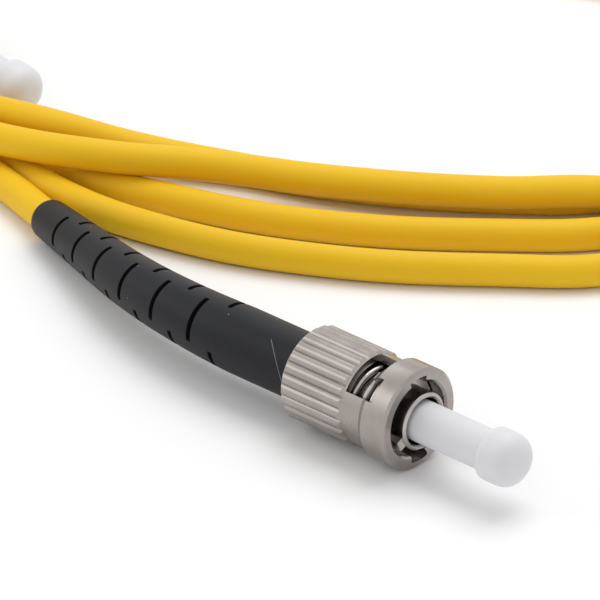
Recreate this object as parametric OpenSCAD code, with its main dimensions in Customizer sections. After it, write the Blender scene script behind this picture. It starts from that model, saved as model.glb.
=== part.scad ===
// ST fibre-optic patch cord: a bayonet connector with its dust cap on, its bend boot,
// the coiled simplex cord behind it and the same connector on the cord's other end.
// The frame's origin is the centre of the near coupling nut's front face. +X runs
// along the ferrule, out of the connector, and +Z is up.

/* [Coupling nut] */
// Overall length of the coupling nut
nut_length = 12.6; // [11.5:0.1:14]
// Outer diameter of the flange at the nut's front
flange_d = 9.5; // [9:0.1:11]
// Length of the flange along the axis
flange_length = 3.0; // [2.6:0.1:3.4]
// Diameter of the plain neck behind the flange
neck_d = 8.4; // [8.2:0.1:8.8]
// Bore that slides over the adapter's sleeve
nut_bore_d = 7.0; // [6.8:0.05:7.2]
// Length of the fluted grip
grip_length = 7.2; // [6.5:0.1:8]
// Diameter over the grip's ribs
grip_d = 8.9; // [8.8:0.05:9.4]
// Number of ribs round the grip
grip_ribs = 24; // [18:1:30]
// Height of the ribs
rib_height = 0.3; // [0.2:0.05:0.35]
// Thickness of the wall that the spring pushes on
spring_wall = 1.0; // [0.8:0.1:1.3]
// Depth of the counterbore in the nut's rear end
rear_recess = 2.0; // [1.6:0.1:2.4]

/* [Bayonet] */
// Diameter of the adapter's lug that the nut catches
lug_d = 2.0; // [1.8:0.1:2.2]
// Distance from the nut's front face to the locking pocket
pocket_front = 2.0; // [1.8:0.1:2.4]
// Distance from the nut's front face to the ramp
ramp_front = 2.75; // [2.7:0.05:2.9]
// Distance from the nut's front face to the tip of the retaining tooth
tooth_tip = 3.45; // [3.2:0.05:3.8]
// Angle round the nut at which the locking pocket ends
pocket_end = 148; // [140:1:156]
// Angle round the nut at which the entry groove ends
entry_end = 76; // [70:1:82]
// Depth of the entry groove in the bore's wall
groove_depth = 0.6; // [0.4:0.05:0.7]

/* [Connector body] */
// Outer diameter of the body's barrel
barrel_d = 5.35; // [5.2:0.05:5.5]
// How far the barrel stands ahead of the nut's front face
barrel_ahead = 0.7; // [0.3:0.1:1]
// Inner diameter of the recess round the ferrule
barrel_bore_d = 4.4; // [4.2:0.05:4.5]
// Depth of the recess round the ferrule
recess_depth = 4.0; // [3.6:0.1:4.4]
// Thickness of the collar that the spring pushes on
collar_length = 1.0; // [0.8:0.1:1.2]
// Distance from the nut's front face to the collar
collar_back = 1.6; // [1.4:0.1:1.8]
// Width of the key on the barrel
key_w = 1.1; // [0.9:0.05:1.3]
// Outer diameter of the crimp post
post_d = 3.6; // [3.4:0.1:3.8]
// Length of the crimp post
post_length = 5.2; // [4.6:0.1:6]

/* [Ferrule and fibre] */
// Diameter of the ceramic ferrule
ferrule_d = 2.5; // [2.4:0.05:2.6]
// How far the ferrule stands ahead of the nut's front face
ferrule_ahead = 4.9; // [4.5:0.1:5.3]
// Overall length of the ferrule
ferrule_length = 11.4; // [10.8:0.1:12]
// Diameter of the bare glass fibre
glass_d = 0.125; // [0.12:0.005:0.13]
// Diameter of the buffered fibre
buffer_d = 0.9; // [0.8:0.05:0.95]

/* [Spring] */
// Diameter of the spring's wire
wire_d = 0.56; // [0.45:0.01:0.6]
// Number of open turns in the spring
open_turns = 4; // [3:1:5]

/* [Dust cap] */
// Outer diameter of the dust cap's tube
cap_d = 3.8; // [3.6:0.05:4]
// Diameter of the dust cap's head
cap_head_d = 4.95; // [4.6:0.05:5.2]
// How far the dust cap stands ahead of the nut's front face
cap_ahead = 12; // [11:0.1:13]
// Length of the dust cap's head with its dome
cap_head_length = 3.5; // [3:0.1:4]
// How far the dust cap reaches into the body
cap_inside = 3.0; // [2.6:0.1:3.2]

/* [Crimp sleeve] */
// Outer diameter of the crimp sleeve
sleeve_d = 4.7; // [4.6:0.05:4.8]
// Wall of the crimp sleeve
sleeve_wall = 0.27; // [0.2:0.01:0.3]
// Length of the sleeve's narrow rear end, crimped on the jacket
sleeve_tail = 4.2; // [3.6:0.1:4.6]

/* [Bend boot] */
// Diameter of the boot's straight front
boot_front_d = 6.2; // [6:0.05:6.4]
// Diameter of the boot's rear end
boot_rear_d = 3.8; // [3.7:0.05:4.2]
// Length of the boot's straight front
boot_front_length = 9.1; // [8:0.1:11]
// Radius that the boot is bent to
bend_radius = 52; // [45:1:70]
// Angle that the boot is bent through
bend_angle = 22; // [15:1:26]
// Length of the straight end behind the bend
boot_end_length = 13; // [12:0.5:15]
// Number of rings of slots along the boot
slot_rings = 12; // [8:1:12]
// Place of the first ring of slots behind the boot's front end
first_slot = 10.2; // [9.8:0.1:11]
// Step from one ring of slots to the next at the boot's front
slot_step = 2.62; // [2.4:0.02:2.7]
// Width of a slot
slot_w = 0.5; // [0.35:0.05:0.6]
// Angle that one slot reaches round the boot
slot_angle = 92; // [70:1:100]

/* [Cord] */
// Outer diameter of the cord's jacket
cord_d = 3.0; // [2.8:0.1:3]

/* [Fits] */
// Clearance on the radius where one piece runs in another
run_gap = 0.08; // [0.05:0.01:0.1]
// Clearance where one piece seats on or in another
seat_gap = 0.03; // [0.02:0.01:0.05]

/* [Hidden] */
$fn = 48;
eps = 0.01;

// Colours
nickel = [0.70, 0.67, 0.64];
steel = [0.78, 0.78, 0.78];
ceramic = [0.95, 0.95, 0.93];
cap_white = [0.88, 0.88, 0.90];
rubber_black = [0.13, 0.13, 0.14];
jacket_yellow = [0.93, 0.75, 0.15];
yarn_yellow = [0.90, 0.82, 0.40];

// Stations along the axis, measured from the nut's front face
grip_front = -(nut_length - grip_length);
recess_front = -(nut_length - rear_recess);
wall_front = recess_front + spring_wall;
collar_rear = -(collar_back + collar_length);
groove_front = recess_front - 0.1;
ring_thickness = 0.5;
groove_rear = groove_front - ring_thickness - 2 * seat_gap;
barrel_rear = groove_rear - 0.6;
post_rear = barrel_rear - post_length;
ferrule_rear = ferrule_ahead - ferrule_length;

// Coupling nut
edge_break = 0.25;
shoulder_run = 0.7;
rib_r = 0.65;
rib_pitch_r = grip_d / 2 - rib_r;
grip_core_d = grip_d - 2 * rib_height;
rear_recess_d = boot_front_d + 0.4;
tooth_w = 0.75;
tooth_angle = pocket_end - 33.5;
tooth_round = 0.8;
entry_angle = 2 * asin((lug_d / 2 + 0.05) / (nut_bore_d / 2 + groove_depth));

// Thrust washer and spring
washer_thickness = 0.25;
washer_front = wall_front + seat_gap + washer_thickness;
inside_d = nut_bore_d - 2 * run_gap;
spring_front = collar_rear - seat_gap;
spring_rear = washer_front + seat_gap;
spring_mean_r = (barrel_d / 2 + nut_bore_d / 2) / 2 - 0.03;
spring_rise = spring_front - spring_rear - wire_d;
closed_rise = wire_d + 0.01;
open_pitch = (spring_rise - 2 * closed_rise) / open_turns;
wire_sides = 8;
turn_steps = 14;

// Dust cap
cap_bore_d = ferrule_d + 2 * seat_gap;
cap_bore_end = ferrule_ahead + 0.4;
cap_dome = 1.7;
cap_edge = 0.35;

// Crimp sleeve, yarn and buffered fibre
sleeve_front = barrel_rear - 0.2;
sleeve_step = post_rear - 0.3;
sleeve_rear = sleeve_step - sleeve_tail;
sleeve_tail_bore_d = cord_d + 2 * run_gap;
cord_front = sleeve_step - 0.4;

// Bend boot
boot_front = barrel_rear - 0.1;
bend_start = boot_front - boot_front_length;
bend_tilt = 18;
bend_length = bend_radius * bend_angle * PI / 180;
boot_length = boot_front_length + bend_length + boot_end_length;
boot_bore_d = cord_d + 0.34;
boot_pocket_d = sleeve_d + 2 * run_gap;
boot_pocket_end = boot_front - sleeve_rear + 0.3;
slot_floor = 0.15;
slot_shrink = 0.018;
boot_sides = 28;

// Where the far connector lies: it points the same way as the near one, nose down
floor_z = -flange_d / 2;
far_yaw = -2;
far_dip = 7;
far_roll = -90;
far_at = [-80.4, 22.8, floor_z + flange_d / 2 * cos(far_dip) + 0.02];

// The cord's route. Its points are [x, y, height of the cord's middle above the floor].
lying = 1.5;
// Two centres that the coil's turns go round, left and right
turn_left = [-88, 33];
turn_right = [-39.1, 58.4];
// The cord leaves the near boot and joins the coil on its outside
tail = [[-61.5, 11.2, 1.5], [-67.5, 12.2, 1.5], [-76, 8, 1.5], [-84, 5.2, 1.5]];
// The four passes along the front of the coil, from right to left
pass_1 = [[-9.2, 37.2, 1.5], [-17, 29.3, 1.5], [-31.6, 19, 1.5], [-44, 14.3, 1.5],
          [-56, 13.1, 1.5], [-67, 15.3, 1.5], [-77, 14.1, 1.5]];
pass_2 = [[-17.4, 44.5, 3.3], [-24.2, 37.7, 3.5], [-36.3, 29.5, 3.4], [-47, 23, 3.8],
          [-54.5, 16.7, 4.6], [-63, 12.8, 4.7], [-71, 12.1, 4.2], [-78, 10.2, 3],
          [-84, 8.6, 1.7]];
pass_3 = [[-14.2, 41.6, 1.5], [-21.2, 34.4, 1.5], [-34.5, 24.6, 1.5], [-46.9, 19.4, 1.5],
          [-58, 17, 1.5], [-67, 18.4, 1.5], [-77, 17.3, 1.5]];
pass_4 = [[-19.6, 45.9, 1.5], [-26, 39.8, 1.5], [-38.4, 31.7, 1.5], [-49, 27.1, 1.5],
          [-56, 22.5, 2.7], [-62, 17.7, 4.8], [-69, 15.8, 4.7], [-80, 12.5, 4.7],
          [-92, 6.5, 4.7], [-102, 2.5, 4.3], [-112, -0.8, 2.2], [-123, -2.7, 1.5]];
// The cord turns back here into the far boot
turn_back = [-134, 9.4];
back_r = 12.4;
// Radius of each turn at the left and at the right
left_r = [28.5, 22.1, 25.3, 18.9];
right_r = [34.4, 26.4, 29.8, 23.1];

function unit(v) = v / norm(v);

function unit(v) = v / norm(v);

// Points along an arc that lies on the floor
function floor_arc(centre, r, from, to, steps) =
    [for (i = [0 : steps])
        let (a = from + (to - from) * i / steps)
            [centre.x + r * cos(a), centre.y + r * sin(a), lying]];

// One turn of the coil: round the left end, along the far side and round the right end
function turn(i) = concat(
    floor_arc(turn_left, left_r[i], 264, 124, 4),
    floor_arc(turn_right, right_r[i], 124, -20, 4));

function above_floor(points) = [for (p = points) [p.x, p.y, p.z + floor_z]];

// The boot's centre line in the plane of its bend, s behind the boot's front end
function bend_x(s) =
    s < boot_front_length ? boot_front - s
    : s < boot_front_length + bend_length
        ? bend_start - bend_radius * sin((s - boot_front_length) / bend_radius * 180 / PI)
        : bend_start - bend_radius * sin(bend_angle)
          - (s - boot_front_length - bend_length) * cos(bend_angle);
function bend_y(s) =
    s < boot_front_length ? 0
    : s < boot_front_length + bend_length
        ? bend_radius * (1 - cos((s - boot_front_length) / bend_radius * 180 / PI))
        : bend_radius * (1 - cos(bend_angle))
          + (s - boot_front_length - bend_length) * sin(bend_angle);
function bend_turn(s) =
    s < boot_front_length ? 0
    : min(bend_angle, (s - boot_front_length) / bend_radius * 180 / PI);

// The same centre line in the connector's own frame
function boot_point(s) =
    [bend_x(s), bend_y(s) * cos(bend_tilt), -bend_y(s) * sin(bend_tilt)];

// A point of the near connector's frame, moved to the far connector
function turned_x(p, a) = [p.x, p.y * cos(a) - p.z * sin(a), p.y * sin(a) + p.z * cos(a)];
function turned_y(p, a) = [p.x * cos(a) + p.z * sin(a), p.y, p.z * cos(a) - p.x * sin(a)];
function turned_z(p, a) = [p.x * cos(a) - p.y * sin(a), p.x * sin(a) + p.y * cos(a), p.z];
function far_point(p) =
    far_at + turned_z(turned_y(turned_x(p, far_roll), far_dip), far_yaw);

// Stations at which the cord passes through a boot, from the sleeve to the rear end
cord_stations = concat(
    [boot_front - cord_front, boot_front_length],
    [for (i = [1 : 3]) boot_front_length + bend_length * i / 3],
    [boot_length + 1]);
inside_near = concat([[cord_front, 0, 0]],
    [for (i = [1 : len(cord_stations) - 1]) boot_point(cord_stations[i])]);
inside_far = [for (i = [len(inside_near) - 1 : -1 : 0]) far_point(inside_near[i])];

route = concat(
    inside_near,
    above_floor(concat(tail, turn(0), pass_1, turn(1), pass_2, turn(2), pass_3, turn(3),
                       pass_4, floor_arc(turn_back, back_r, 262, 115, 4))),
    inside_far);

// A round tube swept along points, with a closed end at each end
module swept(points, r, sides) {
    last = len(points) - 1;
    rings = [for (i = [0 : last])
        let (t = unit(points[min(i + 1, last)] - points[max(i - 1, 0)]),
             side = unit(cross(t, [0, 0, 1])),
             up = cross(side, t))
            for (k = [0 : sides - 1])
                points[i] + r * (cos(360 * k / sides) * side + sin(360 * k / sides) * up)];
    walls = [for (i = [0 : last - 1]) for (k = [0 : sides - 1])
        let (n = (k + 1) % sides)
            [i * sides + k, (i + 1) * sides + k, (i + 1) * sides + n, i * sides + n]];
    ends = [[for (k = [0 : sides - 1]) k],
            [for (k = [sides - 1 : -1 : 0]) last * sides + k]];
    polyhedron(points = rings, faces = concat(walls, ends), convexity = 10);
}

// A form turned about the X axis, from a profile of [radius, station] points
module turned(profile) {
    rotate([0, 90, 0]) rotate_extrude() polygon(profile);
}

// A sector of a ring about the X axis, between two angles and two stations
module sector(r_in, r_out, from, to, rear, front) {
    rotate([0, 90, 0]) rotate([0, 0, from + 90])
        rotate_extrude(angle = to - from)
            translate([r_in, rear]) square([r_out - r_in, front - rear]);
}

// Both copies of what the bayonet repeats half a turn apart
module both_sides() {
    for (a = [0, 180]) rotate([a, 0, 0]) children();
}

module at_far_end() {
    translate(far_at) rotate([far_roll, far_dip, far_yaw]) children();
}

// Outline of the window behind the flange, seen straight down on the tooth: the pocket,
// the tooth that keeps the lug in it, and the ramp that the lug climbs
module window_outline() {
    wide = 2 * flange_d;
    difference() {
        translate([grip_front, -wide / 2]) square([-pocket_front - grip_front, wide]);
        translate([-tooth_tip, -tooth_w / 2]) square([tooth_tip, tooth_w]);
        translate([-ramp_front, 0]) square([ramp_front, wide / 2]);
        translate([-ramp_front - tooth_round, tooth_w / 2 + tooth_round])
            polygon(concat([[tooth_round + eps, -tooth_round - eps]],
                [for (a = [-90 : 15 : 0]) tooth_round * [cos(a), sin(a)]]));
    }
}

// The window itself has radial ends, and its front edge follows the outline
module bayonet_window() {
    intersection() {
        sector(nut_bore_d / 2 - 0.4, flange_d / 2 + 1, entry_end, pocket_end,
               grip_front - 1, 0);
        rotate([tooth_angle - 90, 0, 0])
            linear_extrude(flange_d) window_outline();
    }
}

// The groove by which the lug enters from the front
module entry_groove() {
    sector(nut_bore_d / 2 - 0.4, nut_bore_d / 2 + groove_depth,
           entry_end, entry_end + entry_angle, -ramp_front - 0.5, 1);
}

// The grip's ribs, cut to a blank whose ends are chamfered
module grip() {
    chamfer = rib_height + 0.05;
    intersection() {
        turned([[1, -nut_length], [grip_core_d / 2 - 0.1, -nut_length],
                [grip_d / 2, -nut_length + chamfer], [grip_d / 2, grip_front - chamfer],
                [grip_core_d / 2, grip_front], [1, grip_front]]);
        rotate([0, 90, 0]) translate([0, 0, -nut_length - 1])
            linear_extrude(grip_length + 2) union() {
                circle(d = grip_core_d);
                for (i = [0 : grip_ribs - 1])
                    rotate(i * 360 / grip_ribs) translate([rib_pitch_r, 0])
                        circle(r = rib_r, $fn = 20);
            }
    }
}

module coupling_nut_shape() {
    difference() {
        union() {
            turned([[1, grip_front - 1], [neck_d / 2, grip_front - 1],
                    [neck_d / 2, -flange_length - shoulder_run / 2],
                    [flange_d / 2, -flange_length + shoulder_run / 2],
                    [flange_d / 2, -edge_break], [flange_d / 2 - edge_break, 0], [1, 0]]);
            grip();
        }
        turned([[0, wall_front], [nut_bore_d / 2, wall_front],
                [nut_bore_d / 2, -0.2], [nut_bore_d / 2 + 0.2, 0],
                [nut_bore_d / 2 + 0.2, 1], [0, 1]]);
        turned([[0, recess_front - eps], [barrel_d / 2 + run_gap, recess_front - eps],
                [barrel_d / 2 + run_gap, wall_front + eps], [0, wall_front + eps]]);
        turned([[0, -nut_length - 1], [rear_recess_d / 2 + 0.2, -nut_length - 1],
                [rear_recess_d / 2 + 0.2, -nut_length],
                [rear_recess_d / 2, -nut_length + 0.2],
                [rear_recess_d / 2, recess_front], [0, recess_front]]);
        both_sides() bayonet_window();
        both_sides() entry_groove();
    }
}

module thrust_washer_shape() {
    turned([[barrel_d / 2 + run_gap, wall_front + seat_gap], [inside_d / 2, wall_front + seat_gap],
            [inside_d / 2, washer_front], [barrel_d / 2 + run_gap, washer_front]]);
}

// How far the wire has risen along the spring after a number of turns
function spring_station(turns) =
    turns < 1 ? turns * closed_rise
    : turns < 1 + open_turns ? closed_rise + (turns - 1) * open_pitch
    : closed_rise + open_turns * open_pitch + (turns - 1 - open_turns) * closed_rise;

module coupling_spring_shape() {
    steps = (open_turns + 2) * turn_steps;
    rings = [for (i = [0 : steps])
        let (turns = i / turn_steps,
             a = 360 * turns,
             x = spring_front - wire_d / 2 - spring_station(turns))
            for (k = [0 : wire_sides - 1])
                let (b = 360 * (k + 0.5) / wire_sides,
                     r = spring_mean_r + wire_d / 2 * cos(b))
                    [x + wire_d / 2 * sin(b), r * cos(a), r * sin(a)]];
    walls = [for (i = [0 : steps - 1]) for (k = [0 : wire_sides - 1])
        let (n = (k + 1) % wire_sides)
            [i * wire_sides + k, i * wire_sides + n,
             (i + 1) * wire_sides + n, (i + 1) * wire_sides + k]];
    ends = [[for (k = [wire_sides - 1 : -1 : 0]) k],
            [for (k = [0 : wire_sides - 1]) steps * wire_sides + k]];
    polyhedron(points = rings, faces = concat(walls, ends), convexity = 10);
}

module connector_body_shape() {
    rim = 0.2;
    difference() {
        union() {
            turned([[0, post_rear], [post_d / 2, post_rear], [post_d / 2, barrel_rear],
                    [barrel_d / 2, barrel_rear], [barrel_d / 2, groove_rear],
                    [barrel_d / 2 - 0.35, groove_rear], [barrel_d / 2 - 0.35, groove_front],
                    [barrel_d / 2, groove_front], [barrel_d / 2, collar_rear],
                    [inside_d / 2, collar_rear], [inside_d / 2, -collar_back],
                    [barrel_d / 2, -collar_back], [barrel_d / 2, barrel_ahead - rim],
                    [barrel_d / 2 - rim, barrel_ahead], [0, barrel_ahead]]);
            rotate([205, 0, 0]) translate([-collar_back - 0.2, barrel_d / 2 - 0.3, -key_w / 2])
                cube([collar_back + 0.6, inside_d / 2 - barrel_d / 2 + 0.2, key_w]);
        }
        turned([[0, barrel_ahead - recess_depth], [barrel_bore_d / 2, barrel_ahead - recess_depth],
                [barrel_bore_d / 2, barrel_ahead - rim], [barrel_bore_d / 2 + rim, barrel_ahead],
                [barrel_bore_d / 2 + rim, barrel_ahead + 1], [0, barrel_ahead + 1]]);
        turned([[0, ferrule_rear - seat_gap], [ferrule_d / 2 + seat_gap, ferrule_rear - seat_gap],
                [ferrule_d / 2 + seat_gap, barrel_ahead], [0, barrel_ahead]]);
        turned([[0, post_rear - 1], [buffer_d / 2 + run_gap, post_rear - 1],
                [buffer_d / 2 + run_gap, ferrule_rear], [0, ferrule_rear]]);
    }
}

// A split ring that snaps into the body's groove and keeps the nut on
module retaining_ring_shape() {
    outer_r = rear_recess_d / 2 - 0.15;
    difference() {
        turned([[barrel_d / 2 - 0.35 + seat_gap, groove_rear + seat_gap], [outer_r, groove_rear + seat_gap],
                [outer_r, groove_rear + seat_gap + ring_thickness],
                [barrel_d / 2 - 0.35 + seat_gap, groove_rear + seat_gap + ring_thickness]]);
        translate([groove_rear - 1, 0, -1]) cube([3, outer_r + 1, 2]);
    }
}

module ferrule_shape() {
    tip = 0.3;
    turned([[glass_d / 2 + 0.01, ferrule_rear + 0.9], [buffer_d / 2, ferrule_rear],
            [ferrule_d / 2 - tip, ferrule_rear], [ferrule_d / 2, ferrule_rear + tip],
            [ferrule_d / 2, ferrule_ahead - tip], [ferrule_d / 2 - tip, ferrule_ahead],
            [glass_d / 2 + 0.01, ferrule_ahead]]);
}

module glass_fibre_shape() {
    rotate([0, 90, 0]) translate([0, 0, ferrule_rear])
        cylinder(d = glass_d, h = ferrule_length, $fn = 16);
}

module buffered_fibre_shape() {
    rotate([0, 90, 0]) translate([0, 0, cord_front + seat_gap])
        cylinder(d = buffer_d, h = ferrule_rear - cord_front - 2 * seat_gap, $fn = 24);
}

module dust_cap_shape() {
    head_rear = cap_ahead - cap_head_length;
    head_front = cap_ahead - cap_dome;
    difference() {
        rotate([0, 90, 0]) rotate_extrude() union() {
            polygon([[0, -cap_inside], [cap_d / 2 - 0.15, -cap_inside], [cap_d / 2, -cap_inside + 0.15],
                     [cap_d / 2, head_rear + 0.5], [0, head_rear + 0.5]]);
            polygon(concat(
                [[0, head_rear], [cap_head_d / 2 - cap_edge, head_rear],
                 [cap_head_d / 2, head_rear + cap_edge]],
                [for (a = [0 : 10 : 90])
                    [cap_head_d / 2 * pow(cos(a), 0.7), head_front + cap_dome * sin(a)]]));
        }
        turned([[0, -cap_inside - 1], [cap_bore_d / 2, -cap_inside - 1],
                [cap_bore_d / 2, cap_bore_end], [0, cap_bore_end]]);
    }
}

module crimp_sleeve_shape() {
    turned([[sleeve_d / 2 - sleeve_wall, sleeve_front], [sleeve_d / 2, sleeve_front],
            [sleeve_d / 2, sleeve_step + 0.3], [sleeve_tail_bore_d / 2 + sleeve_wall, sleeve_step - 0.3],
            [sleeve_tail_bore_d / 2 + sleeve_wall, sleeve_rear],
            [sleeve_tail_bore_d / 2, sleeve_rear], [sleeve_tail_bore_d / 2, sleeve_step - 0.3],
            [sleeve_d / 2 - sleeve_wall, sleeve_step + 0.1]]);
}

// Yarn folded back over the post, held between it and the sleeve
module aramid_yarn_shape() {
    turned([[post_d / 2 + seat_gap, post_rear], [sleeve_d / 2 - sleeve_wall - seat_gap, post_rear],
            [sleeve_d / 2 - sleeve_wall - seat_gap, barrel_rear - 0.7],
            [post_d / 2 + seat_gap, barrel_rear - 0.7]]);
}

// The boot's outer radius, s behind its front end
function boot_r(s) =
    s < 0.4 ? boot_front_d / 2 - 0.15 + 0.15 * s / 0.4
    : s < boot_front_length ? boot_front_d / 2
    : boot_front_d / 2 - (boot_front_d - boot_rear_d) / 2
      * (s - boot_front_length) / (boot_length - boot_front_length);
boot_stations = concat([0, 0.4, boot_front_length],
    [for (i = [1 : 6]) boot_front_length + bend_length * i / 6],
    [boot_length - 6, boot_length - 0.35, boot_length]);

// A ring of points about the boot's centre line
function boot_ring(s, r) =
    let (a = bend_turn(s))
        [for (k = [0 : boot_sides - 1])
            let (c = r * cos(360 * k / boot_sides), d = r * sin(360 * k / boot_sides))
                [bend_x(s) + c * sin(a), bend_y(s) + c * cos(a), d]];

// A solid swept along the boot's centre line, through rings of [station, radius]
module boot_loft(rows) {
    last = len(rows) - 1;
    points = [for (row = rows) each boot_ring(row[0], row[1])];
    walls = [for (i = [0 : last - 1]) for (k = [0 : boot_sides - 1])
        let (n = (k + 1) % boot_sides)
            [i * boot_sides + k, i * boot_sides + n,
             (i + 1) * boot_sides + n, (i + 1) * boot_sides + k]];
    ends = [[for (k = [boot_sides - 1 : -1 : 0]) k],
            [for (k = [0 : boot_sides - 1]) last * boot_sides + k]];
    polyhedron(points = points, faces = concat(walls, ends), convexity = 10);
}

// Place of a ring of slots behind the boot's front end: the steps shorten rearwards
function slot_station(i) = first_slot + slot_step * i - slot_shrink * i * i;

// Two slots on opposite sides. Each ring is turned a quarter from the one before it.
module slot_pair(i) {
    s = slot_station(i);
    middle = (i % 2 == 0 ? 55 : 145) + bend_tilt;
    translate([bend_x(s), bend_y(s), 0]) rotate([0, 0, -bend_turn(s)])
        for (a = [middle, middle + 180])
            sector(boot_bore_d / 2 + slot_floor, boot_front_d,
                   a - slot_angle / 2, a + slot_angle / 2, -slot_w / 2, slot_w / 2, $fn = 24);
}

module bend_boot_shape() {
    rotate([-bend_tilt, 0, 0]) difference() {
        boot_loft([for (s = boot_stations)
            [s, s > boot_length - 0.1 ? boot_r(s) - 0.15 : boot_r(s)]]);
        boot_loft([[-1, boot_pocket_d / 2], [boot_pocket_end, boot_pocket_d / 2]]);
        boot_loft([for (s = concat([boot_pocket_end - 1],
                                   [for (b = boot_stations) if (b > boot_pocket_end) b],
                                   [boot_length + 1])) [s, boot_bore_d / 2]]);
        for (i = [0 : slot_rings - 1]) slot_pair(i);
    }
}

module dust_cap() { color(cap_white) dust_cap_shape(); }
module ferrule() { color(ceramic) ferrule_shape(); }
module glass_fibre() { color("white") glass_fibre_shape(); }
module connector_body() { color(nickel) connector_body_shape(); }
module coupling_spring() { color(steel) coupling_spring_shape(); }
module thrust_washer() { color(steel) thrust_washer_shape(); }
module coupling_nut() { color(nickel) coupling_nut_shape(); }
module retaining_ring() { color(steel) retaining_ring_shape(); }
module buffered_fibre() { color(cap_white) buffered_fibre_shape(); }
module aramid_yarn() { color(yarn_yellow) aramid_yarn_shape(); }
module crimp_sleeve() { color(steel) crimp_sleeve_shape(); }
module bend_boot() { color(rubber_black) bend_boot_shape(); }
module cord() { color(jacket_yellow) swept(route, cord_d / 2, 8); }

dust_cap();
ferrule();
glass_fibre();
connector_body();
coupling_spring();
thrust_washer();
coupling_nut();
retaining_ring();
buffered_fibre();
aramid_yarn();
crimp_sleeve();
bend_boot();
cord();
at_far_end() dust_cap();  // far_dust_cap
at_far_end() ferrule();  // far_ferrule
at_far_end() glass_fibre();  // far_glass_fibre
at_far_end() connector_body();  // far_connector_body
at_far_end() coupling_spring();  // far_coupling_spring
at_far_end() thrust_washer();  // far_thrust_washer
at_far_end() coupling_nut();  // far_coupling_nut
at_far_end() retaining_ring();  // far_retaining_ring
at_far_end() buffered_fibre();  // far_buffered_fibre
at_far_end() aramid_yarn();  // far_aramid_yarn
at_far_end() crimp_sleeve();  // far_crimp_sleeve
at_far_end() bend_boot();  // far_bend_boot
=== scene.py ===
import math

import bmesh
import bpy
from mathutils import Matrix, Vector


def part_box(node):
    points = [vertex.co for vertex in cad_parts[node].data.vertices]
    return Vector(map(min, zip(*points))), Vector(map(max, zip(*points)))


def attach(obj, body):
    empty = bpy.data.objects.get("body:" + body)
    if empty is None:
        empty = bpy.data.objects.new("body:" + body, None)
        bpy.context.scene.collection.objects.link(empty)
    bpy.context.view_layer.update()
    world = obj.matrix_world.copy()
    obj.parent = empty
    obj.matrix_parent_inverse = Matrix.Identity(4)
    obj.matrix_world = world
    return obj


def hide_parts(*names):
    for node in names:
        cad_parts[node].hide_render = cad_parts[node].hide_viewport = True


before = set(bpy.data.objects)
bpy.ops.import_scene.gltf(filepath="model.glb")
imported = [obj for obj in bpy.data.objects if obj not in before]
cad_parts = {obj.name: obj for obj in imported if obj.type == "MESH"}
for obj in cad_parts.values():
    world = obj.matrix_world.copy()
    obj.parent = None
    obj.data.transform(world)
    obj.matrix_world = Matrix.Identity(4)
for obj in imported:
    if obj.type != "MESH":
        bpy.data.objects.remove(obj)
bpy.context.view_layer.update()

# ---- Camera ----
# A long lens, far back: it looks down on the connector from in front and to the right, so
# that the ferrule's axis runs to the lower right and lines keep their spacing.
MM = 0.001
camera_turn = math.radians(42.7)
camera_rise = math.radians(28.8)
camera_distance = 900 * MM
camera_aside = -10.35 * MM
camera_above = 10.39 * MM
camera_data = bpy.data.cameras.new("camera")
camera_data.sensor_width = 36
camera_data.lens = 621
camera_data.clip_start = 0.05
camera = bpy.data.objects.new("camera", camera_data)
bpy.context.scene.collection.objects.link(camera)
facing = Matrix.Rotation(camera_turn, 4, "Z") @ Matrix.Rotation(math.pi / 2 - camera_rise, 4, "X")
camera.matrix_world = facing @ Matrix.Translation((camera_aside, camera_above, camera_distance))
bpy.context.scene.camera = camera

# ---- Cord ----
# A 3 mm simplex cord: a smooth yellow PVC jacket over yarn and one buffered fibre. It runs
# from the near crimp sleeve through the near boot, lies in four loose turns on the floor,
# and turns back through the far boot to the far crimp sleeve.
cord_radius = 1.5 * MM
floor_z = -4.75 * MM

# The near boot's bend, which the cord follows inside it
boot_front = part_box("bend_boot")[1].x
boot_straight = 9.1 * MM
bend_radius = 52 * MM
bend_angle = math.radians(22)
boot_end = 13 * MM
bend_tilt = math.radians(18)
bend_length = bend_radius * bend_angle
boot_length = boot_straight + bend_length + boot_end

# The far connector points the same way as the near one, nose down
far_place = (
    Matrix.Translation((-80.4 * MM, 22.8 * MM, (4.75 * math.cos(math.radians(7)) - 4.73) * MM))
    @ Matrix.Rotation(math.radians(-2), 4, "Z")
    @ Matrix.Rotation(math.radians(7), 4, "Y")
    @ Matrix.Rotation(math.radians(-90), 4, "X")
)

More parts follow.
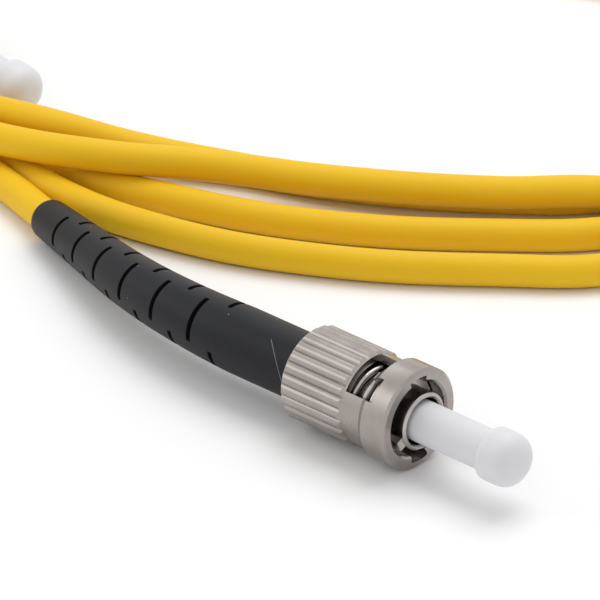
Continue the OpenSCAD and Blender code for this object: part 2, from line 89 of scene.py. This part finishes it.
# The route, with each point's height above the floor
lying = 1.5
turn_left = (-88, 33)
turn_right = (-39.1, 58.4)
left_r = (28.5, 22.1, 25.3, 18.9)
right_r = (34.4, 26.4, 29.8, 23.1)
tail = [(-61.5, 11.2, 1.5), (-67.5, 12.2, 1.5), (-76, 8, 1.5), (-84, 5.2, 1.5)]
passes = [
    [(-9.2, 37.2, 1.5), (-17, 29.3, 1.5), (-31.6, 19, 1.5), (-44, 14.3, 1.5), (-56, 13.1, 1.5),
     (-67, 15.3, 1.5), (-77, 14.1, 1.5)],
    [(-17.4, 44.5, 3.3), (-24.2, 37.7, 3.5), (-36.3, 29.5, 3.4), (-47, 23, 3.8),
     (-54.5, 16.7, 4.6), (-63, 12.8, 4.7), (-71, 12.1, 4.2), (-78, 10.2, 3), (-84, 8.6, 1.7)],
    [(-14.2, 41.6, 1.5), (-21.2, 34.4, 1.5), (-34.5, 24.6, 1.5), (-46.9, 19.4, 1.5),
     (-58, 17, 1.5), (-67, 18.4, 1.5), (-77, 17.3, 1.5)],
    [(-19.6, 45.9, 1.5), (-26, 39.8, 1.5), (-38.4, 31.7, 1.5), (-49, 27.1, 1.5),
     (-56, 22.5, 2.7), (-62, 17.7, 4.8), (-69, 15.8, 4.7), (-80, 12.5, 4.7), (-92, 6.5, 4.7),
     (-102, 2.5, 4.3), (-112, -0.8, 2.2), (-123, -2.7, 1.5)],
]
turn_back = (-134, 9.4)
back_r = 12.4


def boot_line(s):
    """The boot's centre line at s behind its front end: a point, and the angle turned there."""
    along = min(max(s - boot_straight, 0), bend_length)
    turned = along / bend_radius
    beyond = max(s - boot_straight - bend_length, 0)
    x = boot_front - min(s, boot_straight) - bend_radius * math.sin(turned)
    y = bend_radius * (1 - math.cos(turned))
    return Vector((x - beyond * math.cos(turned), y + beyond * math.sin(turned), 0)), turned


def floor_arc(centre, radius, start, end, steps):
    angles = [math.radians(start + (end - start) * i / steps) for i in range(steps + 1)]
    return [(centre[0] + radius * math.cos(a), centre[1] + radius * math.sin(a), lying) for a in angles]


boot_tilt = Matrix.Rotation(-bend_tilt, 4, "X")
inside_stations = [boot_straight] + [boot_straight + bend_length * i / 3 for i in (1, 2, 3)]
inside_stations.append(boot_length + 1 * MM)
cord_front = Vector((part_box("buffered_fibre")[0].x, 0, 0))
inside_boot = [cord_front] + [boot_tilt @ boot_line(s)[0] for s in inside_stations]
on_floor = list(tail)
for i, run in enumerate(passes):
    on_floor += floor_arc(turn_left, left_r[i], 264, 124, 4)
    on_floor += floor_arc(turn_right, right_r[i], 124, -20, 4) + run
on_floor += floor_arc(turn_back, back_r, 262, 115, 4)
route = inside_boot + [Vector((x * MM, y * MM, h * MM + floor_z)) for x, y, h in on_floor]
route += [far_place @ point for point in reversed(inside_boot)]

cord_curve = bpy.data.curves.new("cord_jacket", "CURVE")
cord_curve.dimensions = "3D"
cord_curve.bevel_depth = cord_radius
cord_curve.bevel_resolution = 6
cord_curve.resolution_u = 10
cord_curve.use_fill_caps = True
cord_line = cord_curve.splines.new("BEZIER")
cord_line.bezier_points.add(len(route) - 1)
for knot, point in zip(cord_line.bezier_points, route):
    knot.co = point
    knot.handle_left_type = knot.handle_right_type = "AUTO"
cord = bpy.data.objects.new("cord_jacket", cord_curve)
bpy.context.scene.collection.objects.link(cord)


def new_material(name, **values):
    """A material with a Principled BSDF whose sockets hold the values given."""
    material = bpy.data.materials.new(name)
    material.use_nodes = True
    shader = material.node_tree.nodes["Principled BSDF"]
    for socket, value in values.items():
        shader.inputs[socket.replace("_", " ")].default_value = value
    return material, material.node_tree, shader


def grain_group():
    """Fine unevenness of a surface: a slow cloud for its tone and a fine grain for its relief."""
    group = bpy.data.node_groups.new("surface_grain", "ShaderNodeTree")
    for name, low in (("Cloud Scale", 100.0), ("Grain Scale", 1000.0)):
        group.interface.new_socket(name, in_out="INPUT", socket_type="NodeSocketFloat").default_value = low
    for name in ("Cloud", "Grain"):
        group.interface.new_socket(name, in_out="OUTPUT", socket_type="NodeSocketFloat")
    inlet, outlet = group.nodes.new("NodeGroupInput"), group.nodes.new("NodeGroupOutput")
    place = group.nodes.new("ShaderNodeTexCoord")
    for i, name in enumerate(("Cloud", "Grain")):
        noise = group.nodes.new("ShaderNodeTexNoise")
        noise.inputs["Detail"].default_value = 4
        group.links.new(place.outputs["Object"], noise.inputs["Vector"])
        group.links.new(inlet.outputs[i], noise.inputs["Scale"])
        group.links.new(noise.outputs["Fac"], outlet.inputs[i])
    return group


surface_grain = grain_group()


def add_grain(tree, shader, cloud_scale, grain_scale, tones, rough, relief):
    """Two tones and two roughnesses that follow the slow cloud, and relief from the fine grain."""
    grain = tree.nodes.new("ShaderNodeGroup")
    grain.node_tree = surface_grain
    grain.inputs["Cloud Scale"].default_value = cloud_scale
    grain.inputs["Grain Scale"].default_value = grain_scale
    tone = tree.nodes.new("ShaderNodeMix")
    tone.data_type = "RGBA"
    tone.inputs["A"].default_value = (*tones[0], 1)
    tone.inputs["B"].default_value = (*tones[1], 1)
    gloss = tree.nodes.new("ShaderNodeMapRange")
    gloss.inputs["To Min"].default_value, gloss.inputs["To Max"].default_value = rough
    bump = tree.nodes.new("ShaderNodeBump")
    bump.inputs["Strength"].default_value = 1
    bump.inputs["Distance"].default_value = relief
    tree.links.new(grain.outputs["Cloud"], tone.inputs["Factor"])
    tree.links.new(grain.outputs["Cloud"], gloss.inputs["Value"])
    tree.links.new(grain.outputs["Grain"], bump.inputs["Height"])
    tree.links.new(tone.outputs["Result"], shader.inputs["Base Color"])
    tree.links.new(gloss.outputs["Result"], shader.inputs["Roughness"])
    tree.links.new(bump.outputs["Normal"], shader.inputs["Normal"])
    return grain, tone, bump


jacket, jacket_tree, jacket_shader = new_material(
    "jacket_pvc", Specular_IOR_Level=0.22, Subsurface_Weight=0.15, Subsurface_Scale=0.6 * MM)
add_grain(jacket_tree, jacket_shader, 60, 2500, ((0.79, 0.475, 0.008), (0.84, 0.525, 0.014)),
          (0.46, 0.56), 0.004 * MM)
cord_curve.materials.append(jacket)
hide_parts("cord")
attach(cord, "root")


# ---- Coupling nut ----
# Turned and milled brass, nickel-plated to a satin grey: a flange with two bayonet windows, a
# plain neck and a fluted grip. Its edges are lightly deburred. It turns and slides on the
# body, and the spring pushes it back.
def deburred(node, edge):
    """A copy of a CAD node with its triangles joined and its sharp edges broken."""
    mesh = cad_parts[node].data.copy()
    bm = bmesh.new()
    bm.from_mesh(mesh)
    bmesh.ops.remove_doubles(bm, verts=bm.verts, dist=0.0002 * MM)
    bmesh.ops.dissolve_limit(bm, angle_limit=math.radians(0.3), verts=bm.verts, edges=bm.edges)
    crease = math.radians(32)
    for e in bm.edges:
        e.smooth = len(e.link_faces) == 2 and e.calc_face_angle() < crease
    for f in bm.faces:
        f.smooth = True
    bm.to_mesh(mesh)
    bm.free()
    mesh.materials.clear()
    piece = bpy.data.objects.new("finished_" + node, mesh)
    bpy.context.scene.collection.objects.link(piece)
    if edge:
        rounding = piece.modifiers.new("broken edges", "BEVEL")
        rounding.width = edge
        rounding.segments = 2
        rounding.limit_method = "ANGLE"
        rounding.angle_limit = crease
        rounding.harden_normals = True
    return piece


def fitted(piece, node, body, material):
    """The piece stands for its CAD node, near or far, and rides on that node's body."""
    piece.data.materials.append(material)
    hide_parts(node)
    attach(piece, body)
    return piece


def far_copy(piece):
    """The same piece on the far connector: its mesh or curve is placed there, not its object."""
    data = piece.data.copy()
    data.materials.clear()
    data.transform(far_place)
    twin = bpy.data.objects.new("far_" + piece.name, data)
    bpy.context.scene.collection.objects.link(twin)
    for modifier in piece.modifiers:
        rounding = twin.modifiers.new(modifier.name, modifier.type)
        for value in ("width", "segments", "limit_method", "angle_limit", "harden_normals"):
            setattr(rounding, value, getattr(modifier, value))
    return twin


def on_both_ends(piece, node, moves, material):
    far = far_copy(piece)
    fitted(piece, node, node if moves else "root", material)
    fitted(far, "far_" + node, "far_" + node if moves else "root", material)


nickel, nickel_tree, nickel_shader = new_material("satin_nickel", Metallic=1.0)
add_grain(nickel_tree, nickel_shader, 300, 6000, ((0.27, 0.242, 0.226), (0.45, 0.41, 0.385)),
          (0.2, 0.34), 0.003 * MM)
on_both_ends(deburred("coupling_nut", 0.06 * MM), "coupling_nut", True, nickel)

# ---- Connector body ----
# One turned piece: the barrel that the adapter's sleeve meets, the collar that the spring
# pushes on, the key, and the post for the crimp. Its mouth is bright from the tool.
bright, bright_tree, bright_shader = new_material("bright_nickel", Metallic=1.0)
add_grain(bright_tree, bright_shader, 500, 5000, ((0.24, 0.225, 0.21), (0.62, 0.58, 0.55)),
          (0.12, 0.26), 0.02 * MM)
on_both_ends(deburred("connector_body", 0.05 * MM), "connector_body", False, bright)

# ---- Ferrule and glass fibre ----
# The zirconia ferrule is pressed into the body and ground white; the glass fibre is bonded in
# its bore and polished flush with its tip.
ceramic, ceramic_tree, ceramic_shader = new_material("zirconia", Specular_IOR_Level=0.7)
add_grain(ceramic_tree, ceramic_shader, 400, 8000, ((0.86, 0.86, 0.82), (0.90, 0.90, 0.87)),
          (0.14, 0.2), 0.0005 * MM)
glass, glass_tree, glass_shader = new_material(
    "fibre_glass", Transmission_Weight=0.6, IOR=1.46, Roughness=0.05)
glass_shader.inputs["Base Color"].default_value = (0.9, 0.95, 0.95, 1)
on_both_ends(deburred("ferrule", 0), "ferrule", False, ceramic)
on_both_ends(deburred("glass_fibre", 0), "glass_fibre", False, glass)

# ---- Retaining ring, thrust washer and crimp sleeve ----
# Spring-steel ring and washer that carry the nut on the body, and the soft steel sleeve that
# clamps the yarn on the post and grips the jacket. All are plain, bright and lightly oiled.
steel, steel_tree, steel_shader = new_material("spring_steel", Metallic=1.0)
add_grain(steel_tree, steel_shader, 350, 5000, ((0.48, 0.47, 0.46), (0.62, 0.61, 0.60)),
          (0.18, 0.3), 0.003 * MM)
on_both_ends(deburred("retaining_ring", 0.04 * MM), "retaining_ring", False, steel)
on_both_ends(deburred("thrust_washer", 0.03 * MM), "thrust_washer", True, steel)
on_both_ends(deburred("crimp_sleeve", 0.03 * MM), "crimp_sleeve", False, steel)

# ---- Aramid yarn and buffered fibre ----
# The yarn is folded back over the post under the crimp sleeve. The white buffered fibre runs
# from the jacket's end through the post to the ferrule.
yarn, yarn_tree, yarn_shader = new_material("aramid", Sheen_Weight=0.3)
add_grain(yarn_tree, yarn_shader, 900, 4000, ((0.62, 0.46, 0.10), (0.80, 0.66, 0.22)),
          (0.6, 0.8), 0.05 * MM)
buffer, buffer_tree, buffer_shader = new_material("buffer_white", Subsurface_Weight=0.1,
                                                  Subsurface_Scale=0.3 * MM)
add_grain(buffer_tree, buffer_shader, 400, 6000, ((0.80, 0.80, 0.78), (0.86, 0.86, 0.84)),
          (0.35, 0.45), 0.001 * MM)
on_both_ends(deburred("aramid_yarn", 0), "aramid_yarn", False, yarn)
on_both_ends(deburred("buffered_fibre", 0), "buffered_fibre", False, buffer)

# ---- Coupling spring ----
# Round steel wire wound right-handed with a closed turn at each end, between the body's
# collar and the washer. Two of its turns show through the bayonet window.
wire_radius = 0.28 * MM
coil_radius = (5.35 / 2 + 7 / 2) / 2 * MM - 0.03 * MM
spring_low, spring_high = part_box("coupling_spring")
open_turns = 4
end_rise = 2 * wire_radius + 0.01 * MM
open_pitch = (spring_high.x - spring_low.x - 2 * wire_radius - 2 * end_rise) / open_turns
steps_per_turn = 24
spring_curve = bpy.data.curves.new("spring_wire", "CURVE")
spring_curve.dimensions = "3D"
spring_curve.bevel_depth = wire_radius
spring_curve.bevel_resolution = 4
spring_curve.resolution_u = 2
spring_curve.use_fill_caps = True
wire = spring_curve.splines.new("BEZIER")
wire.bezier_points.add((open_turns + 2) * steps_per_turn)
for i, knot in enumerate(wire.bezier_points):
    turns = i / steps_per_turn
    opened = min(max(turns - 1, 0), open_turns)
    closed = min(turns, 1) + max(turns - 1 - open_turns, 0)
    angle = 2 * math.pi * turns
    knot.co = (spring_high.x - wire_radius - closed * end_rise - opened * open_pitch,
               coil_radius * math.cos(angle), coil_radius * math.sin(angle))
    knot.handle_left_type = knot.handle_right_type = "AUTO"
spring = bpy.data.objects.new("spring_wire", spring_curve)
bpy.context.scene.collection.objects.link(spring)
on_both_ends(spring, "coupling_spring", False, bright)


# ---- Dust cap ----
# Moulded in one from soft translucent polyethylene, and pushed over the ferrule: a thin tube
# with a blind bore, and a thicker domed head to pull it off by.
def spun(name, profile, steps):
    """A closed form turned about the X axis from (radius, station) points in millimetres."""
    bm = bmesh.new()
    verts = [bm.verts.new((x * MM, r * MM, 0)) for r, x in profile]
    edges = [bm.edges.new(pair) for pair in zip(verts, verts[1:])]
    bmesh.ops.spin(bm, geom=verts + edges, cent=(0, 0, 0), axis=(1, 0, 0), dvec=(0, 0, 0),
                   angle=2 * math.pi, steps=steps, use_merge=True, use_duplicate=False)
    bmesh.ops.remove_doubles(bm, verts=bm.verts, dist=0.0005 * MM)
    bmesh.ops.recalc_face_normals(bm, faces=bm.faces)
    for f in bm.faces:
        f.smooth = True
    for e in bm.edges:
        e.smooth = len(e.link_faces) == 2 and e.calc_face_angle() < math.radians(40)
    mesh = bpy.data.meshes.new(name)
    bm.to_mesh(mesh)
    bm.free()
    piece = bpy.data.objects.new(name, mesh)
    bpy.context.scene.collection.objects.link(piece)
    return piece


cap_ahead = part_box("dust_cap")[1].x / MM
cap_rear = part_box("dust_cap")[0].x / MM
head_rear = cap_ahead - 3.5
dome = 1.7
cap_tube_r, cap_head_r, cap_bore_r = 1.9, 2.475, 1.28
cap_profile = [(0, 5.3), (cap_bore_r, 5.3), (cap_bore_r, cap_rear + 0.1), (cap_bore_r + 0.1, cap_rear),
               (cap_tube_r - 0.15, cap_rear), (cap_tube_r, cap_rear + 0.15)]
cap_profile += [(cap_tube_r, x) for x in (0, 3, 6, head_rear - 0.35)]
cap_profile += [(cap_tube_r + 0.12 * (1 - math.cos(math.radians(a))),
                 head_rear - 0.35 + 0.35 * math.sin(math.radians(a))) for a in (30, 60, 90)]
cap_profile += [(cap_head_r - 0.35 + 0.35 * math.sin(math.radians(a)),
                 head_rear + 0.35 - 0.35 * math.cos(math.radians(a))) for a in range(0, 91, 15)]
cap_profile += [(cap_head_r * math.cos(math.radians(a)) ** 0.7,
                 cap_ahead - dome + dome * math.sin(math.radians(a))) for a in range(0, 90, 6)]
cap_profile.append((0, cap_ahead))
cap_plastic, cap_tree, cap_shader = new_material(
    "cap_polyethylene", Subsurface_Weight=0.55, Subsurface_Scale=1.2 * MM, Specular_IOR_Level=0.35)
cap_shader.inputs["Subsurface Radius"].default_value = (1, 1, 1)
add_grain(cap_tree, cap_shader, 150, 2500, ((0.65, 0.65, 0.675), (0.71, 0.71, 0.73)),
          (0.38, 0.5), 0.004 * MM)
on_both_ends(spun("cap", cap_profile, 96), "dust_cap", True, cap_plastic)

# ---- Bend boot ----
# Moulded black rubber, pushed over the crimp sleeve: a straight front, then a taper with
# rows of short slots, each ring a quarter turn from the last, that let it bend with the cord.
# The slots stop just short of the bore.
boot_front_r, boot_rear_r, boot_bore_r, boot_pocket_r = 3.1 * MM, 1.9 * MM, 1.67 * MM, 2.43 * MM
pocket_end = boot_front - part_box("crimp_sleeve")[0].x + 0.3 * MM
slot_rings, slot_half, slot_sectors, around = 12, 0.25 * MM, 24, 96
slot_depth_r = boot_bore_r + 0.15 * MM


def boot_radius(s):
    return boot_front_r - (boot_front_r - boot_rear_r) * max(s - boot_straight, 0) / (boot_length - boot_straight)


slot_stations = [(10.2 + 2.62 * i - 0.018 * i * i) * MM for i in range(slot_rings)]
edges_of_slots = [s + side for s in slot_stations for side in (-slot_half, slot_half)]
between = [(a + slot_half + (b - a - 2 * slot_half) * k / 3) for a, b in zip(slot_stations, slot_stations[1:])
           for k in (1, 2)]
plain = [1 * MM, 3 * MM, 5 * MM, 7 * MM, boot_straight, boot_length - 1.2 * MM]
outer_line = [(s, boot_radius(s)) for s in sorted(edges_of_slots + between + plain)]
rim = 0.3 * MM
rear_rim = [(boot_length - rim + rim * math.sin(math.radians(a)),
             boot_radius(boot_length) - rim * 0.6 * (1 - math.cos(math.radians(a)))) for a in (0, 30, 60, 90)]
front_rim = [(0, boot_front_r - 0.15 * MM), (0.06 * MM, boot_front_r - 0.05 * MM), (0.2 * MM, boot_front_r)]
bore_line = [(boot_length, boot_bore_r), (boot_length * 0.8, boot_bore_r), (boot_length * 0.6, boot_bore_r),
             (boot_length * 0.4, boot_bore_r), (pocket_end, boot_bore_r), (pocket_end, boot_pocket_r),
             (0, boot_pocket_r)]

boot_bm = bmesh.new()
ring = [boot_bm.verts.new((-s, r, 0)) for s, r in front_rim + outer_line + rear_rim + bore_line]
ring_edges = [boot_bm.edges.new(pair) for pair in zip(ring, ring[1:] + ring[:1])]
bmesh.ops.spin(boot_bm, geom=ring + ring_edges, cent=(0, 0, 0), axis=(1, 0, 0), dvec=(0, 0, 0),
               angle=2 * math.pi, steps=around, use_merge=True, use_duplicate=False)
bmesh.ops.recalc_face_normals(boot_bm, faces=boot_bm.faces)
sector = 360 / around
for i, s in enumerate(slot_stations):
    for middle in (55, 235) if i % 2 == 0 else (145, 325):
        centre = middle + math.degrees(bend_tilt)

        def in_slot(face):
            at = face.calc_center_median()
            turn = (math.degrees(math.atan2(at.z, at.y)) - centre + 180) % 360 - 180
            return (abs(turn) < slot_sectors * sector / 2 and abs(-at.x - s) < slot_half
                    and math.hypot(at.y, at.z) > slot_depth_r + 0.01 * MM)

        floor = [f for f in boot_bm.faces if in_slot(f)]
        sunk = bmesh.ops.extrude_face_region(boot_bm, geom=floor)
        left = [f for f in floor if f.is_valid]
        if left:
            bmesh.ops.delete(boot_bm, geom=left, context="FACES_ONLY")
        for v in [g for g in sunk["geom"] if isinstance(g, bmesh.types.BMVert)]:
            shrink = slot_depth_r / math.hypot(v.co.y, v.co.z)
            v.co.y, v.co.z = v.co.y * shrink, v.co.z * shrink


def is_slot_corner(edge):
    """An edge that runs down into a slot, at one of its four corners."""
    a, b = (math.hypot(v.co.y, v.co.z) for v in edge.verts)
    level = abs(edge.verts[0].co.x - edge.verts[1].co.x) < 0.01 * MM
    return (level and min(a, b) < slot_depth_r + 0.01 * MM < max(a, b) - 0.05 * MM
            and len(edge.link_faces) == 2 and edge.calc_face_angle() > math.radians(60)
            and 1 * MM < -edge.verts[0].co.x < boot_length - 0.5 * MM)


corners = [e for e in boot_bm.edges if is_slot_corner(e)]
bmesh.ops.bevel(boot_bm, geom=corners, offset=slot_half * 0.95, offset_type="OFFSET", segments=4,
                profile=0.5, affect="EDGES", clamp_overlap=True, material=-1)
for v in boot_bm.verts:
    point, turned = boot_line(-v.co.x)
    across = Vector((math.sin(turned), math.cos(turned), 0)) * v.co.y
    v.co = boot_tilt @ (point + across + Vector((0, 0, v.co.z)))
bmesh.ops.recalc_face_normals(boot_bm, faces=boot_bm.faces)
for f in boot_bm.faces:
    f.smooth = True
for e in boot_bm.edges:
    e.smooth = len(e.link_faces) == 2 and e.calc_face_angle() < math.radians(35)
boot_mesh = bpy.data.meshes.new("boot")
boot_bm.to_mesh(boot_mesh)
boot_bm.free()
boot = bpy.data.objects.new("boot", boot_mesh)
bpy.context.scene.collection.objects.link(boot)
softened = boot.modifiers.new("soft edges", "BEVEL")
softened.width = 0.05 * MM
softened.segments = 2
softened.limit_method = "ANGLE"
softened.angle_limit = math.radians(35)
softened.harden_normals = True

rubber, rubber_tree, rubber_shader = new_material("boot_rubber", Specular_IOR_Level=0.22)
rubber_grain, rubber_tone, rubber_bump = add_grain(
    rubber_tree, rubber_shader, 120, 3500, ((0.0065, 0.007, 0.0085), (0.0105, 0.011, 0.0135)),
    (0.40, 0.52), 0.008 * MM)

# One hair-thin scratch near the nut: where a wide sphere cuts the skin, as far as a small one
scratch_bow = (Vector((-22.3, -5.8, -4.25)) * MM, 10.2 * MM)
scratch_span = (Vector((-14.7, -2.73, 1.47)) * MM, 2.05 * MM)
scratch_width = 0.02 * MM
skin_place = rubber_tree.nodes.new("ShaderNodeTexCoord")
reach = []
for centre, _ in (scratch_bow, scratch_span):
    distance = rubber_tree.nodes.new("ShaderNodeVectorMath")
    distance.operation = "DISTANCE"
    distance.inputs[1].default_value = centre
    rubber_tree.links.new(skin_place.outputs["Object"], distance.inputs[0])
    reach.append(distance.outputs["Value"])
on_line = rubber_tree.nodes.new("ShaderNodeMath")
on_line.operation = "COMPARE"
on_line.inputs[1].default_value = scratch_bow[1]
on_line.inputs[2].default_value = scratch_width
in_span = rubber_tree.nodes.new("ShaderNodeMath")
in_span.operation = "LESS_THAN"
in_span.inputs[1].default_value = scratch_span[1]
both = rubber_tree.nodes.new("ShaderNodeMath")
both.operation = "MULTIPLY"
rubber_tree.links.new(reach[0], on_line.inputs[0])
rubber_tree.links.new(reach[1], in_span.inputs[0])
rubber_tree.links.new(on_line.outputs[0], both.inputs[0])
rubber_tree.links.new(in_span.outputs[0], both.inputs[1])

# Sparse specks of pale dust
specks = rubber_tree.nodes.new("ShaderNodeTexVoronoi")
specks.inputs["Scale"].default_value = 1300
chosen_few = rubber_tree.nodes.new("ShaderNodeSeparateColor")
small = rubber_tree.nodes.new("ShaderNodeMath")
small.operation = "LESS_THAN"
small.inputs[1].default_value = 0.08
few = rubber_tree.nodes.new("ShaderNodeMath")
few.operation = "GREATER_THAN"
few.inputs[1].default_value = 0.88
dust = rubber_tree.nodes.new("ShaderNodeMath")
dust.operation = "MULTIPLY"
rubber_tree.links.new(skin_place.outputs["Object"], specks.inputs["Vector"])
rubber_tree.links.new(specks.outputs["Distance"], small.inputs[0])
rubber_tree.links.new(specks.outputs["Color"], chosen_few.inputs["Color"])
rubber_tree.links.new(chosen_few.outputs["Red"], few.inputs[0])
rubber_tree.links.new(small.outputs[0], dust.inputs[0])
rubber_tree.links.new(few.outputs[0], dust.inputs[1])
pale = rubber_tree.nodes.new("ShaderNodeMath")
pale.operation = "MAXIMUM"
rubber_tree.links.new(both.outputs[0], pale.inputs[0])
rubber_tree.links.new(dust.outputs[0], pale.inputs[1])
marked = rubber_tree.nodes.new("ShaderNodeMix")
marked.data_type = "RGBA"
marked.inputs["B"].default_value = (0.3, 0.3, 0.31, 1)
rubber_tree.links.new(pale.outputs[0], marked.inputs["Factor"])
rubber_tree.links.new(rubber_tone.outputs["Result"], marked.inputs["A"])
rubber_tree.links.new(marked.outputs["Result"], rubber_shader.inputs["Base Color"])
on_both_ends(boot, "bend_boot", False, rubber)

# ---- Floor, lamps and surroundings ----
# A plain white sweep of table, one broad soft lamp overhead and behind, a weaker one from the
# left, and an even white surround that shows in the metal.
floor_bm = bmesh.new()
bmesh.ops.create_grid(floor_bm, x_segments=1, y_segments=1, size=1.5,
                      matrix=Matrix.Translation((0, 0, floor_z)))
floor_mesh = bpy.data.meshes.new("table_top")
floor_bm.to_mesh(floor_mesh)
floor_bm.free()
table_top = bpy.data.objects.new("table_top", floor_mesh)
bpy.context.scene.collection.objects.link(table_top)
paper, paper_tree, paper_shader = new_material("white_paper", Roughness=0.9, Specular_IOR_Level=0.1)
paper_shader.inputs["Base Color"].default_value = (0.93, 0.93, 0.93, 1)
floor_mesh.materials.append(paper)


def soft_lamp(name, power, size, spot, target):
    lamp_data = bpy.data.lights.new(name, "AREA")
    lamp_data.energy = power
    lamp_data.size = size
    lamp = bpy.data.objects.new(name, lamp_data)
    lamp.location = spot
    lamp.rotation_euler = (Vector(target) - Vector(spot)).to_track_quat("-Z", "Y").to_euler()
    bpy.context.scene.collection.objects.link(lamp)


soft_lamp("overhead", 2.0, 0.5, (-0.1, 0.25, 0.6), (-0.03, 0.01, 0))
soft_lamp("left_fill", 0.5, 0.4, (-0.5, -0.3, 0.35), (-0.03, 0.01, 0))

world = bpy.data.worlds.new("surround")
bpy.context.scene.world = world
world.use_nodes = True
nodes, links = world.node_tree.nodes, world.node_tree.links
surround = nodes["Background"]
seen = nodes.new("ShaderNodeBackground")
seen.inputs["Color"].default_value = (1, 1, 1, 1)
seen.inputs["Strength"].default_value = 1
surround.inputs["Color"].default_value = (1, 1, 1, 1)
surround.inputs["Strength"].default_value = 0.72
rays = nodes.new("ShaderNodeLightPath")
first = nodes.new("ShaderNodeMath")
first.operation = "MAXIMUM"
second = nodes.new("ShaderNodeMath")
second.operation = "MAXIMUM"
links.new(rays.outputs["Is Camera Ray"], first.inputs[0])
links.new(rays.outputs["Is Glossy Ray"], first.inputs[1])
links.new(first.outputs[0], second.inputs[0])
links.new(rays.outputs["Is Transmission Ray"], second.inputs[1])
choice = nodes.new("ShaderNodeMixShader")
links.new(second.outputs[0], choice.inputs["Fac"])
links.new(surround.outputs[0], choice.inputs[1])
links.new(seen.outputs[0], choice.inputs[2])
links.new(choice.outputs[0], nodes["World Output"].inputs["Surface"])
bpy.context.scene.view_settings.view_transform = "Standard"
